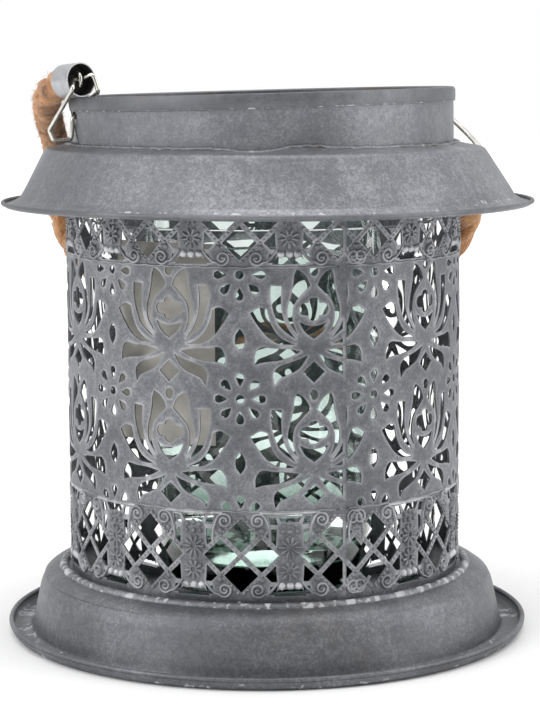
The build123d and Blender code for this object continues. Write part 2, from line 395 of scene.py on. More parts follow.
def way_round(x, y):
    """Degrees round the lantern from its front."""
    return degrees(atan2(x, -y))


def near_angle(angle, middle, width):
    off = (angle - middle + 180) % 360 - 180
    return max(0.0, 1 - (off / width) ** 2) ** 2


SHEET_ZINC = zinc("sheet_zinc", 0.97, 0.75, 0.0, 0.3)
BASE_ZINC = zinc("base_zinc", 0.78, 0.7, 0.0, 0.1)
LACE_ZINC = zinc("lace_zinc", 0.78, 0.8, 0.42, 0.0)
# The relief's zinc is a darker copy of the sheet's: painted shade on the raised bars, with painted highlight
# and wear on their edges.
SHADED_RELIEF_ZINC = zinc("shaded_relief_zinc", 0.5, 0.8, 0.6, 0.0)
HEM_ZINC = zinc("hem_zinc", 0.72, 0.35, 0.0, 0.6)
COLLAR_ZINC = zinc("collar_zinc", 0.95, 0.6, 0.0, 0.15)
WIRE_STEEL = wire_steel()


# ---- base ----------------------------------------------------------------------------------------
def base_shape(angle, r, z):
    bent = 0.45 * wave(angle, 1.3, 0.0) * (r / BASE_R) ** 6 if z > 2 else 0.0
    return angle, r + bent + 0.6 * sin(radians(angle)) * (r > 84), z + bent * 0.4


def build_base():
    floor_z = BODY_LOW
    line = [(60, floor_z), (84.5, floor_z), (89.6, SHEET), (96.2, SHEET), (BASE_R - 0.9, 3.6)]
    line = refined(rounded(line, [10, 2.5, 2.2]), 1.6)
    outline = thickened(line, SHEET)
    points, faces = lathe([(p.x, p.y) for p in outline], 288, base_shape)
    pile = Pile()
    pile.take(points, faces)
    pile.take(*lathe(oval(BASE_R - 1.05, 3.9, 0.95, 0.95, 10), 288, base_shape))
    disc_rings = [60, 40, 20, 0.5]
    disc = [(r, floor_z) for r in disc_rings] + [(r, floor_z - SHEET) for r in disc_rings[::-1]]
    pile.take(*lathe(disc, 96, lambda a, r, z: (a, r, z)))
    chalk = []
    for x, y, z in pile.points:
        r, a = hypot(x, y), way_round(x, y)
        foot = max(0, 1 - abs(z - 1.2) / 3.4) if r > 86 else 0
        top = max(0, 1 - abs(r - 77) / 3.2) * 0.5
        rubbed = near_angle(a, 30, 26) * (0.35 if 84 < r < 90 else 0)
        drift = 0.16 * wave(a, 6, z * 0.05, 3)
        speck = 0.5 * wave(a, 40, z * 0.4, 6)
        chalk.append((0.24 + speck) * foot + (0.3 + speck) * top + drift * (foot > 0) - rubbed)
    marks = {"patina": chalk}
    made = piece("base_sheet", pile.points, pile.faces, BASE_ZINC, attributes=marks)
    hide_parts("base_pan")

    def lumpy(angle, r, z):
        lump = 0.28 * wave(angle, 22, 0.3) + 0.16 * wave(angle, 60, 0.9)
        return angle, r + lump, z + lump

    points, faces = lathe(oval(76.4, floor_z - 0.1, 1.7, 1.7, 12), 420, lumpy)
    chalk = [0.3 + 0.55 * wave(way_round(x, y), 30, z * 0.2, 5) for x, y, z in points]
    piece("foot_bead", points, faces, SHEET_ZINC, attributes={"patina": chalk})


# ---- roof brim -----------------------------------------------------------------------------------
def roof_shape(angle, r, z):
    inner = max(0.0, 1 - (r - 71) / 9)
    dent = -1.3 * near_angle(angle, -3, 11) + 0.9 * near_angle(angle, 13, 12) + 0.35 * wave(angle, 5, 2)
    sway = 0.5 * wave(angle, 1.2, 5)
    outer = max(0.0, (r - 84) / 15)
    shift = 1.7 * min(1.0, max(0.0, (r - 76) / 14))
    a = radians(angle)
    out = sway * outer * 0.6 + shift * sin(a)
    return angle + degrees(shift * cos(a) / r), r + out, z + dent * inner + sway * outer


def build_roof():
    line = [(COLLAR_R + 0.4, 183.3), (81.8, 181.3), (92.3, 163.4), (97.2, 160.6), (ROOF_R - 0.9, 161.9)]
    outline = thickened(refined(rounded(line, [3, 3, 1.2]), 1.5), SHEET)
    pile = Pile()
    pile.take(*lathe([(p.x, p.y) for p in outline], 288, roof_shape))
    chalk = []
    for x, y, z in pile.points:
        r, a = hypot(x, y), way_round(x, y)
        lip = max(0, 1 - abs(r - 94.6) / 3.0)
        joint = max(0, 1 - abs(r - 73.5) / 2.2)
        drift = 0.2 * wave(a, 7, 0.4, 8) + 0.5 * wave(a, 40, z * 0.3, 2)
        chalk.append((0.3 + drift) * lip + (0.2 + drift) * joint)
    marks = {"patina": chalk}
    made = piece("roof_sheet", pile.points, pile.faces, SHEET_ZINC, attributes=marks)
    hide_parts("roof_brim")
    points, faces = lathe(oval(ROOF_R - 1.0, 161.5, 0.8, 0.8, 12), 288, roof_shape)
    marks = {"patina": [0.12] * len(points)}
    piece("roof_lip", points, faces, HEM_ZINC, attributes=marks)


# ---- collar --------------------------------------------------------------------------------------
LEAN = radians(1.3)
COLLAR_LOW, COLLAR_HIGH = 176.0, 201.7
LAP = -61.0  # degrees: foot of the collar's visible edge


def collar_shape(angle, r, z):
    """The strip starts at the left as the outer layer, springs off a little there, and ends under itself."""
    up = (z - COLLAR_LOW) / (COLLAR_HIGH - COLLAR_LOW)
    from_start = angle - LAP
    spring = max(0.0, 1 - from_start / 16) ** 2 * (0.1 + 0.3 * up)
    ease = max(0.0, min(1.0, 1 - from_start / 30))
    under = max(0.0, min(1.0, (from_start - 325) / 12))
    r = r + 0.4 * ease + spring - 0.6 * under + 0.3 * wave(angle, 1.6, up * 0.6, 2)
    slant = -14.6 * up * max(0.0, 1 - from_start / 12)
    return angle + slant, r, z


def build_collar():
    heights = np.linspace(COLLAR_LOW, COLLAR_HIGH, 16)
    strip = [(COLLAR_R, z) for z in heights] + [(COLLAR_R - SHEET, z) for z in heights[::-1]]
    points, faces = lathe(strip, 300, collar_shape, LAP, 380)
    marks = {"patina": [0.1 + 0.08 * wave(way_round(x, y), 5, z * 0.1, 1) for x, y, z in points]}
    sheet = piece("collar_sheet", points, faces, COLLAR_ZINC, None, attributes=marks)
    low = COLLAR_HIGH - HEM_HEIGHT
    hem = [(COLLAR_R + 0.02, low), (COLLAR_R + 0.62, low + 0.15), (COLLAR_R + 0.75, low + 0.9)]
    hem += [(COLLAR_R + 0.72, COLLAR_HIGH - 0.9), (COLLAR_R + 0.3, COLLAR_HIGH + 0.1)]
    hem += [(COLLAR_R - 0.45, COLLAR_HIGH + 0.3), (COLLAR_R - 1.1, COLLAR_HIGH - 0.2)]
    hem += [(COLLAR_R - 1.15, low + 1.2), (COLLAR_R - 0.75, low + 1.0)]
    points, faces = lathe(hem, 300, collar_shape, LAP, 352)
    marks = {"patina": [0.05] * len(points)}
    band = piece("collar_hem", points, faces, HEM_ZINC, None, attributes=marks)
    line = oval(COLLAR_R + 0.35, low - 0.1, 0.3, 0.25, 8)
    points, faces = lathe(line, 300, collar_shape, LAP + 1, 350)
    marks = {"patina": [0.25 + 0.5 * wave(way_round(x, y), 26, 0.3, 4) for x, y, _ in points]}
    fold = piece("hem_fold_line", points, faces, SHEET_ZINC, None, attributes=marks)
    # Thin dark strip along the outer layer's end: painted shadow of the lap gap, partly oxide.
    seam = [(COLLAR_R - 0.1, z) for z in heights] + [(COLLAR_R + 0.03, z) for z in heights[::-1]]
    points, faces = lathe(seam, 2, collar_shape, LAP - 0.75, 0.8)
    lap = piece("collar_lap_seam_shadow", points, faces, lap_shadow_oxide(), None)
    foot = Matrix.Translation(Vector((0, 0, COLLAR_LOW)) * MM)
    lean = foot @ Matrix.Rotation(-LEAN, 4, "Y") @ foot.inverted()
    drill = hole_cutter()
    for made in (sheet, band, fold, lap):
        made.data.transform(lean)
    cut = sheet.modifiers.new("holes", "BOOLEAN")
    cut.operation = "DIFFERENCE"
    cut.object = drill
    cut.solver = "EXACT"
    settle(sheet)
    bpy.data.objects.remove(drill)
    for made in (sheet, band, fold, lap):
        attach(made, "shell")
    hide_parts("collar")

    def weld(angle, r, z):
        lump = 0.35 * wave(angle, 26, 0.3) + 0.2 * wave(angle, 70, 0.9)
        lift = roof_shape(angle, 72, z)[2]
        return angle, r + lump, lift + lump

    points, faces = lathe(oval(COLLAR_R + 1.0, 183.0, 1.1, 0.8, 8), 420, weld)
    chalk = [0.08 + 0.5 * wave(way_round(x, y), 24, 0.3, 6) for x, y, _ in points]
    piece("collar_weld", points, faces, SHEET_ZINC, attributes={"patina": chalk})


def hole_cutter():
    """Bar through both handle holes."""
    made = bpy.data.meshes.new("drill")
    shape = bmesh.new()
    radius = HOLE_R * MM
    bmesh.ops.create_cone(shape, cap_ends=True, segments=24, radius1=radius, radius2=radius, depth=0.2)
    shape.to_mesh(made)
    shape.free()
    turn = Vector((0, 0, 1)).rotation_difference(Vector(frame["joints"][1]["axis"])).to_matrix().to_4x4()
    made.transform(Matrix.Translation((0, 0, PIVOT_Z * MM)) @ turn)
    drill = bpy.data.objects.new("drill", made)
    bpy.context.scene.collection.objects.link(drill)
    return drill


def settle(made):
    """Applies a piece's modifiers to its mesh."""
    bpy.context.view_layer.update()
    graph = bpy.context.evaluated_depsgraph_get()
    mesh = bpy.data.meshes.new_from_object(made.evaluated_get(graph))
    old = made.data
    made.modifiers.clear()
    made.data = mesh
    bpy.data.meshes.remove(old)


# ---- pierced body --------------------------------------------------------------------------------
def sides(*lines):
    """Outline from its sides; each begins at a sharp corner, and its other points are soft."""
    return [(x, y, i == 0) for line in lines for i, (x, y) in enumerate(line[:-1])]


def corners(*points):
    return [(x, y, True) for x, y in points]


def round_hole(half_width, half_height):
    turns = [2 * pi * step / 10 for step in range(10)]
    return [(half_width * sin(a), half_height * cos(a), False) for a in turns]


def moved(shape, x, y, turn=0.0):
    c, s = cos(radians(turn)), sin(radians(turn))
    return [(x + px * c - py * s, y + px * s + py * c, sharp) for px, py, sharp in shape]


def both_ways(shape):
    return [shape, [(-x, y, sharp) for x, y, sharp in reversed(shape)]]


def lotus():
    """Openings of one lotus about its hub."""
    right = [(2.0, 2.2), (4.3, 1.9), (5.2, 0), (4.3, -1.9), (2.0, -2.2)]
    foot = [(2.0, -2.2), (1.5, -3.6), (0, -4.1), (-1.5, -3.6), (-2.0, -2.2)]
    bud = sides(right, foot, [(-x, -y) for x, y in right], [(-x, -y) for x, y in foot])
    top = [(-5.2, 9.2), (-2.7, 8.1), (0, 7.7), (2.7, 8.1), (5.2, 9.2)]
    heart = sides(top, [(5.2, 9.2), (3.3, 5.7), (0, 3.1)], [(0, 3.1), (-3.3, 5.7), (-5.2, 9.2)])
    inner = sides(
        [(6.1, 27.4), (7.0, 25.2), (7.3, 22.0), (8.2, 17.8), (9.2, 13.6), (8.8, 9.5), (5.9, 5.0)],
        [(5.9, 5.0), (7.2, 8.6), (7.5, 12.2), (6.6, 15.8), (4.3, 18.6), (1.2, 21.8)],
        [(1.2, 21.8), (2.4, 24.4), (4.2, 26.4), (6.1, 27.4)],
    )
    outer = sides(
        [(14.9, 21.9), (15.1, 18.6), (14.5, 14.4), (13.3, 10.6), (11.6, 7.3), (6.4, 3.1)],
        [(6.4, 3.1), (8.8, 6.4), (10.4, 9.6), (11.3, 13.2), (11.5, 17.4), (11.3, 21.7)],
        [(11.3, 21.7), (14.9, 21.9)],
    )
    leaf = sides(
        [(22.2, 12.4), (20.6, 9.6), (18.6, 6.8), (16.4, 4.2), (12.4, 1.7), (6.6, 1.3)],
        [(6.6, 1.3), (10.2, 2.9), (13.2, 5.4), (15.2, 9.2), (16.4, 13.7)],
        [(16.4, 13.7), (18.9, 14.3), (22.2, 12.4)],
    )
    petal = sides(
        [(4.4, -1.0), (9.0, -0.2), (14.0, 0.1), (18.6, 0.5), (20.5, -2.2), (20.6, -5.6)],
        [(20.6, -5.6), (17.4, -4.7), (12.6, -4.2), (8.4, -3.0), (4.4, -1.0)],
    )
    low = sides(
        [(1.9, -2.3), (5.0, -3.7), (9.0, -5.0), (12.4, -6.3), (14.2, -8.8), (13.7, -12.9)],
        [(13.7, -12.9), (11.8, -10.4), (8.4, -8.9), (4.9, -6.8), (1.9, -2.3)],
    )
    gap = corners((0, -4.6), (3.9, -8.35), (0, -12.1), (-3.9, -8.35))
    shapes = [moved(bud, 0, 13.5), heart, moved(round_hole(1.5, 1.9), 0, 26.8), gap]
    for shape in (inner, outer, leaf, petal, low):
        shapes += both_ways(shape)
    return shapes


def daisy():
    right = [(0, 4.4), (0.9, 6.0), (1.4, 7.6), (0, 9.0)]
    drop = sides(right[:-1] + [(0.9, 8.7), (-0.9, 8.7)], [(-0.9, 8.7), (-1.4, 7.6), (-0.9, 6.0), (0, 4.4)])
    drop = [(x, y, y < 5) for x, y, _ in drop]
    return [round_hole(1.5, 1.5)] + [moved(drop, 0, 0, 45 * k) for k in range(8)]


def almond():
    right = [(0, 3.9), (1.6, 1.5), (1.6, -1.5), (0, -3.9)]
    return sides(right, [(-x, -y) for x, y in right])


def lattice():
    """Openings of one lattice cell and of the ornament to its right."""
    gap = corners((0, 6), (6, 0), (0, -6), (-6, 0))
    shapes = [moved(gap, x, y) for x, y in ((0, 7.2), (0, -7.2), (7.2, 0), (-7.2, 0))]
    for up in (1, -1):
        for outline in (
            [(8.4, 7.2), (12.2, 3.4), (12.6, 9.4), (10.6, 9.4)],
            [(10.2, 11.0), (12.8, 11.0), (12.0, 14.0), (9.6, 14.0)],
        ):
            shapes += both_ways(corners(*[(x, y * up) for x, y in outline]))
    half = CELL / 2 * PER_DEGREE
    shapes.append(moved(corners((-4.6, 14.4), (4.6, 14.4), (3.0, 11.8), (-3.0, 11.8)), half, 0))
    shapes.append(moved(corners((-6.0, -14.6), (6.0, -14.6), (4.2, -12.0), (-4.2, -12.0)), half, 0))
    return shapes


def clipped(shape, axis, limit, above):
    """The part of an outline on one side of a straight cut."""
    kept = []
    for i, here in enumerate(shape):
        before = shape[i - 1]
        inside_here, inside_before = (here[axis] > limit) == above, (before[axis] > limit) == above
        if inside_here != inside_before:
            t = (limit - before[axis]) / (here[axis] - before[axis])
            x, y = (before[k] + (here[k] - before[k]) * t for k in (0, 1))
            kept.append((x, y, True))
        if inside_here:
            kept.append(here)
    return kept


def openings():
    """Every opening of the strip, as smooth outlines of (way round, height) in millimetres."""
    rows = [(lotus(), COLUMN / 2, hub) for hub in HUBS] + [([almond()], 0.0, hub + 3.1) for hub in HUBS]
    rows += [(daisy(), 0.0, hub - DAISY_DROP) for hub in (*HUBS, 2 * HUBS[1] - HUBS[0])]
    placed = [(row, COLUMN, (FIELD_LOW, FIELD_HIGH)) for row in rows]
    placed += [((lattice(), 0.0, band), CELL, (band - BAND_HALF, band + BAND_HALF)) for band in BANDS]
    left, right = SEAM * PER_DEGREE + SEAM_MARGIN, (SEAM + 360) * PER_DEGREE - SEAM_MARGIN
    loops = []
    for (shapes, offset, height), pitch, (low, high) in placed:
        for k in range(-1, 15):
            way = (STRIP_START + pitch * k + offset) * PER_DEGREE
            if not left - 40 < way < right + 40:
                continue
            for shape in shapes:
                shape = moved(shape, way, height)
                for axis, limits in enumerate(((left, right), (low, high))):
                    for limit, above in zip(limits, (True, False)):
                        shape = clipped(shape, axis, limit, above) if shape else shape
                if len(shape) > 2 and abs(signed_area(shape)) > 1.0:
                    loops.append(smoothed(shape if signed_area(shape) > 0 else shape[::-1], 0.95))
    return loops


def signed_area(shape):
    return sum(a[0] * b[1] - b[0] * a[1] for a, b in zip(shape, shape[1:] + shape[:1])) / 2


def smoothed(shape, step):
    """The outline with its soft corners drawn as one curve, in even steps; sharp corners stay."""
    points = [np.array(p[:2]) for p in shape]
    sharp = [p[2] for p in shape]
    count = len(points)
    out = []
    for i in range(count):
        p0, p1 = points[i - 1], points[i]
        p2, p3 = points[(i + 1) % count], points[(i + 2) % count]
        if sharp[i]:
            p0 = 2 * p1 - p2
        if sharp[(i + 1) % count]:
            p3 = 2 * p2 - p1
        parts = max(1, int(round(np.linalg.norm(p2 - p1) / step)))
        for k in range(parts):
            t = k / parts
            m1, m2 = (p2 - p0) / 2, (p3 - p1) / 2
            a = 2 * t**3 - 3 * t**2 + 1
            b = t**3 - 2 * t**2 + t
            c = -2 * t**3 + 3 * t**2
            d = t**3 - t**2
            out.append(a * p1 + b * m1 + c * p2 + d * m2)
    return np.array(out)


def inside(points, loop):
    """Which points lie in a loop."""
    hit = np.zeros(len(points), bool)
    x, y = points[:, 0], points[:, 1]
    x1, y1 = loop[-1]
    for x2, y2 in loop:
        if y1 != y2:
            crossing = (y1 > y) != (y2 > y)
            hit ^= crossing & (x < (x2 - x1) * (y - y1) / (y2 - y1) + x1)
        x1, y1 = x2, y2
    return hit


def rise(s, z, near):
    """How far the sheet stands out from the plain cylinder: pressed rims and a slightly uneven field."""
    rim = 0.42 * max(0.0, 1 - near / 1.5) ** 1.5
    field = FIELD_LOW < z < FIELD_HIGH
    uneven = noise.noise(Vector((s * 0.035, z * 0.035, 1.7))) * (0.5 if field else 0.25)
    return rim + uneven - 0.1


def on_wall(s, z, out):
    a = s / BODY_R
    return ((BODY_R + out) * sin(a), -(BODY_R + out) * cos(a), z)


def build_lace():
    """The pierced sheet: its openings' outlines and a fine grid, wrapped round and given its thickness."""
    loops = openings()
    left, right = SEAM * PER_DEGREE, (SEAM + 360) * PER_DEGREE + 0.6
    low, high = BODY_LOW, BODY_HIGH
    flat, edges = [], []
    for loop in loops:
        start = len(flat)
        flat.extend(map(tuple, loop))
        edges.extend([(start + i, start + (i + 1) % len(loop)) for i in range(len(loop))])
    tree = kdtree.KDTree(len(flat))
    for i, (s, z) in enumerate(flat):
        tree.insert((s, z, 0), i)
    tree.balance()
    frame_points = []
    rim = np.array([(left, low), (right, low), (right, high), (left, high)])
    for a, b in zip(rim, np.roll(rim, -1, 0)):
        parts = ceil(np.linalg.norm(b - a) / 2.4)
        frame_points.extend([tuple(a + (b - a) * i / parts) for i in range(parts)])
    start = len(flat)
    flat.extend(frame_points)
    edges.extend([(start + i, start + (i + 1) % len(frame_points)) for i in range(len(frame_points))])
    for loop in loops:
        ahead = np.roll(loop, -1, 0) - np.roll(loop, 1, 0)
        normal = np.column_stack([ahead[:, 1], -ahead[:, 0]])
        normal /= np.linalg.norm(normal, axis=1)[:, None] + 1e-9
        for s, z in loop + normal * 0.95:
            if tree.find((s, z, 0))[2] > 0.85 and left + 0.8 < s < right - 0.8 and low + 0.8 < z < high - 0.8:
                flat.append((s, z))
    step = 2.3
    for row, z in enumerate(np.arange(low + 1.4, high - 1, step * 0.866)):
        for s in np.arange(left + 1.4 + (row % 2) * step / 2, right - 1, step):
            if tree.find((s, z, 0))[2] > 1.75:
                flat.append((s, z))
    made = geometry.delaunay_2d_cdt([Vector(p) for p in flat], edges, [], 0, 1e-5)
    flat = np.array([tuple(v) for v in made[0]])
    triangles = np.array([tuple(f) for f in made[2]])
    centres = flat[triangles].mean(axis=1)
    keep = np.ones(len(triangles), bool)
    order = np.argsort(centres[:, 0])
    along = centres[order, 0]
    for loop in loops:
        first, last = np.searchsorted(along, [loop[:, 0].min(), loop[:, 0].max()])
        some = order[first:last]
        keep[some[inside(centres[some], loop)]] = False
    u, v = flat[triangles[:, 1]] - flat[triangles[:, 0]], flat[triangles[:, 2]] - flat[triangles[:, 0]]
    area = u[:, 0] * v[:, 1] - u[:, 1] * v[:, 0]
    keep &= np.abs(area) > 1e-4
    triangles[area < 0] = triangles[area < 0][:, ::-1]
    triangles = triangles[keep]
    used, triangles = np.unique(triangles, return_inverse=True)
    triangles = triangles.reshape(-1, 3)
    flat = flat[used]
    outer, inner, wear_and_highlight_weight = [], [], []
    for s, z in flat:
        near = tree.find((s, z, 0))[2]
        out = rise(s, z, near)
        out += 0.75 * max(0.0, 1 - (right - s) / 7) ** 2
        outer.append(on_wall(s, z, out))
        inner.append(on_wall(s, z, out - LACE_SHEET))
        # Weight for the lighter rims of the openings: partly wear, partly painted highlight.
        wear_and_highlight_weight.append(max(0.0, 1 - near / 1.1))
    count = len(flat)
    sides = {}
    for a, b, c in triangles:
        for edge in ((a, b), (b, c), (c, a)):
            if (edge[1], edge[0]) in sides:
                del sides[(edge[1], edge[0])]
            else:
                sides[edge] = True
    faces = [tuple(int(i) for i in t) for t in triangles]
    faces += [tuple(int(i) + count for i in t[::-1]) for t in triangles]
    faces += [(int(b), int(a), int(a) + count, int(b) + count) for a, b in sides]
    chalk = []
    for s, z in flat:
        foot = max(0.0, 1 - (z - low) / 5)
        chalk.append(0.22 * foot + 0.1 * noise.noise(Vector((s * 0.05, z * 0.05, 4))))
    attributes = {"edge": wear_and_highlight_weight + [0.0] * count, "patina": chalk + chalk}
    body = piece("lace_body", outer + inner, faces, LACE_ZINC, attributes=attributes)
    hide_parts("openwork_body")


# ---- ornament on the lattice bands ---------------------------------------------------------------
def ridge(pile, line, width, height, base=-0.15, mark=0.6, closed=False, lift=None):
    """Half-round ridge along a line of (way round, height) points on the body."""
    section = [(-0.5, 0.0), (-0.4, 0.62), (-0.15, 0.95), (0.15, 0.95), (0.4, 0.62), (0.5, 0.0)]
    count = len(section)
    points = []
    for i, here in enumerate(line):
        before = line[i - 1] if closed or i else here
        after = line[(i + 1) % len(line)] if closed or i < len(line) - 1 else here
        along = np.array(after) - np.array(before)
        along = along / (np.linalg.norm(along) + 1e-9)
        side = np.array([-along[1], along[0]])
        tall = height * (lift[i] if lift is not None else 1.0)
        for across, out in section:
            s, z = np.array(here) + side * across * width
            points.append(on_wall(s, z, base + out * tall))
    faces = [f[::-1] for f in ring_faces(len(line), count, True, closed)]
    if not closed:
        faces.append(tuple(range(count)))
        faces.append(tuple((len(line) - 1) * count + j for j in reversed(range(count))))
    pile.take(points, faces, mark)


def bead(pile, s, z, radius, height, mark=0.6, base=-0.1, around=7):
    """Small dome on the body."""
    points = []
    for share, out in ((1.0, 0.0), (0.82, 0.55), (0.42, 0.92)):
        for k in range(around):
            t = 2 * pi * k / around
            reach = radius * share
            points.append(on_wall(s + reach * cos(t), z + reach * sin(t), base + out * height))
    points.append(on_wall(s, z, base + height))
    faces = ring_faces(3, around)
    top = 2 * around
    faces += [(top + k, top + (k + 1) % around, 3 * around) for k in range(around)]
    faces.append(tuple(reversed(range(around))))
    pile.take(points, faces, mark)


def scroll(middle, radius, start, turns, grow=0.28):
    """Spiral from its outer end inwards."""
    steps = int(12 * abs(turns)) + 1
    points = []
    for i in range(steps):
        t = i / (steps - 1)
        a = start + 2 * pi * turns * t
        r = radius * (1 - (1 - grow) * t)
        points.append((middle[0] + r * cos(a), middle[1] + r * sin(a)))
    return points


def beaded_bar(pile, a, b, width=1.35):
    a, b = np.array(a, float), np.array(b, float)
    length = np.linalg.norm(b - a)
    ridge(pile, [a, (a + b) / 2, b], width, 0.42, mark=0.35)
    steps = int(length / 1.75)
    for k in range(steps):
        s, z = a + (b - a) * (k + 0.5) / steps
        bead(pile, s, z, 0.66, 0.62, 0.7, 0.1, 6)


def lattice_ornament(pile, s, z):
    def at(x, y):
        return (s + x, z + y)

    d = 14.4
    for x, y in ((1, 1), (1, -1), (-1, -1), (-1, 1)):
        beaded_bar(pile, at(0.4 * x, (d - 0.4) * y), at((d - 1.6) * x, 1.6 * y))
    beaded_bar(pile, at(-7.0, -7.0), at(7.0, 7.0))
    beaded_bar(pile, at(-7.0, 7.0), at(-0.9, 0.9))
    beaded_bar(pile, at(0.9, -0.9), at(7.0, -7.0))
    tails = {1: [(9.7, 3.4), (10.1, 6.4), (9.9, 9.2), (9.1, 11.9)]}
    tails[-1] = [(12.9, 9.6), (11.2, 11.9), (9.4, 13.6)]
    for side in (1, -1):
        for up in (1, -1):
            coil = scroll((5.9, 12.3), 2.75, radians(35), 1.45)
            line = [(x * side, y * up) for x, y in tails[up] + coil]
            ridge(pile, [at(x, y) for x, y in line], 1.15, 0.95, mark=1.0)
            x, y = 5.9 * side, 12.3 * up
            bead(pile, *at(x, y), 0.95, 0.8, 0.5)
            bead(pile, *at(7.3 * side, 8.7 * up), 1.35, 0.7, 0.35)


def column_ornament(pile, s, z):
    berries = [(-2.3, 10.6, 1.0), (0, 11.4, 1.1), (2.3, 10.6, 1.0)]
    berries += [(-2.6, 8.4, 0.9), (2.6, 8.4, 0.9), (0, 8.3, 1.1)]
    for x, y, r in berries:
        bead(pile, s + x, z + y, r, 0.8, 0.4)
    for middle, reach, petals in ((2.8, 3.9, 10), (-5.6, 3.5, 9)):
        for k in range(petals):
            t = 2 * pi * (k + 0.5) / petals
            inner, outer = 0.38 * reach, reach
            line = [(s + r * sin(t), z + middle + r * cos(t)) for r in (inner, (inner + outer) / 2, outer)]
            ridge(pile, line, 1.25, 0.95, mark=0.5, lift=[0.6, 1.0, 0.75])
        ring = [(s + 1.25 * cos(t), z + middle + 1.25 * sin(t)) for t in np.linspace(0, 2 * pi, 9)[:-1]]
        ridge(pile, ring, 0.6, 0.75, mark=0.7, closed=True)
    for x in (-0.9, 0.9):
        ridge(pile, [(s + x, z - 1.4), (s + x * 1.3, z - 0.2)], 0.8, 0.7, mark=0.5)
    for x in (-2.9, 0.0, 2.9):
        bead(pile, s + x, z - 11.0, 1.45, 1.15, 1.6, -0.1, 9)
    line = [(s - 10.6, z + 15.1), (s - 5, z + 15.0), (s + 5, z + 15.0), (s + 10.6, z + 15.1)]
    ridge(pile, line, 1.1, 0.85, mark=1.4)


def field_line(pile, z, sign):
    steps = 240
    ways = [(SEAM + 360 * i / steps) * PER_DEGREE for i in range(steps)]
    line = [(way, z + 0.35 * sign * sin(i * 0.9) ** 2) for i, way in enumerate(ways)]
    ridge(pile, line, 0.9, 0.6, mark=0.8, closed=True)


def build_ornament():
    pile = Pile()
    right = (SEAM + 360 - 6) * PER_DEGREE
    for band in BANDS:
        for k in range(0, 14):
            at = (STRIP_START + CELL * k) * PER_DEGREE
            if at - 10 < right:
                lattice_ornament(pile, at, band)
            at += CELL / 2 * PER_DEGREE
            if at + 5 < right:
                column_ornament(pile, at, band)
    for z, sign in ((BANDS[0] + 15.4, 1), (BANDS[1] - 15.4, -1)):
        field_line(pile, z, sign)
    # The marks weight the lighter relief edges, partly wear and partly painted highlight; the heaviest also
    # get patina.
    wear_and_highlight_weight = np.array(pile.marks)
    attributes = {"edge": np.clip(wear_and_highlight_weight, 0, 1.6), "patina": np.where(wear_and_highlight_weight > 1.2, 0.36, 0.06)}
    piece("lattice_relief", pile.points, pile.faces, SHADED_RELIEF_ZINC, attributes=attributes)


# ---- glass and label -----------------------------------------------------------------------------
def build_glass():
    low, high = size("glass_insert")
    radius, bottom, rim = high[0], low[2], high[2]
    inner, floor_z = radius - GLASS_WALL, bottom + GLASS_FLOOR
    outline = [(0.4, bottom), (radius - 3, bottom), (radius - 0.9, bottom + 0.9), (radius, bottom + 3)]
    outline += [(radius, rim - 1), (radius - 0.3, rim - 0.3), (radius - 1.3, rim)]
    outline += [(inner + 0.3, rim - 0.3), (inner, rim - 1), (inner, floor_z + 3)]
    outline += [(inner - 0.9, floor_z + 0.9), (inner - 3, floor_z), (0.4, floor_z)]
    points, faces = lathe(outline, 160, lambda a, r, z: (a, r, z))
    made = piece("glass_cylinder", points, faces, green_glass(), "glass", 50)
    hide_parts("glass_insert")
    label = nodes["glass_label"]
    label.data.materials.clear()
    label.data.materials.append(label_paper())


# ---- wire links, ferrules ------------------------------------------------------------------------
def smooth_node(name, material):
    made = nodes[name]
    made.data.materials.clear()
    made.data.materials.append(material)
    made.data.polygons.foreach_set("use_smooth", [True] * len(made.data.polygons))
    made.data.set_sharp_from_angle(angle=radians(40))


def build_metalwork():
    steel, dark = ferrule_steel(), painted_shade_lining()
    for name in ("link_left", "link_right", "rope_eye_left", "rope_eye_right"):
        smooth_node(name, WIRE_STEEL)
    for name, route, body in (("left", ROPE_ROUTE, "handle_left_end"), ("right", ROPE_ROUTE[::-1], "handle")):
        smooth_node("ferrule_" + name, steel)
        end, mouth = Vector(route[0]) / MM, Vector(MOUTHS[name])
        aim = (mouth - end).normalized()
        side = aim.orthogonal().normalized()
        up = aim.cross(side)
        points = []
        # Dark tube and end disc inside each ferrule's mouth: painted shade where the mouth is hollow.
        wall = [(CAP_BORE, -0.5), (CAP_BORE, -CAP_DEPTH), (0.1, -CAP_DEPTH)]
        wall += [(0.1, 0.07 - CAP_DEPTH), (CAP_BORE - 0.1, 0.07 - CAP_DEPTH), (CAP_BORE - 0.1, -0.5)]
        for r, depth in wall:
            for t in np.linspace(0, 2 * pi, 33)[:-1]:
                points.append(mouth + aim * depth + (side * cos(t) + up * sin(t)) * r)
        piece("cap_shade_" + name, points, ring_faces(6, 32, True, True), dark, body)


# ---- rope ----------------------------------------------------------------------------------------
MOUTHS = {"left": (-64.4, -36.0, 206.7), "right": (84.8, 56.2, 170.4)}
ROPE_ROUTE = [
    (-0.070831, -0.027724, 0.206067),
    (-0.0775, -0.0189, 0.2033),
    (-0.0806, -0.0020, 0.1974),
    (-0.0818, 0.0240, 0.1894),
    (-0.0825, 0.0570, 0.1795),
    (-0.0845, 0.0840, 0.1660),
    (-0.0840, 0.0960, 0.1410),
    (-0.0660, 0.0960, 0.1195),
    (-0.0360, 0.0920, 0.1185),
    (-0.0040, 0.0900, 0.1180),
    (0.0280, 0.0915, 0.1180),
    (0.0540, 0.0930, 0.1185),
    (0.0775, 0.0930, 0.1315),
    (0.0860, 0.0810, 0.1515),
    (0.085325, 0.063974, 0.163361),
]


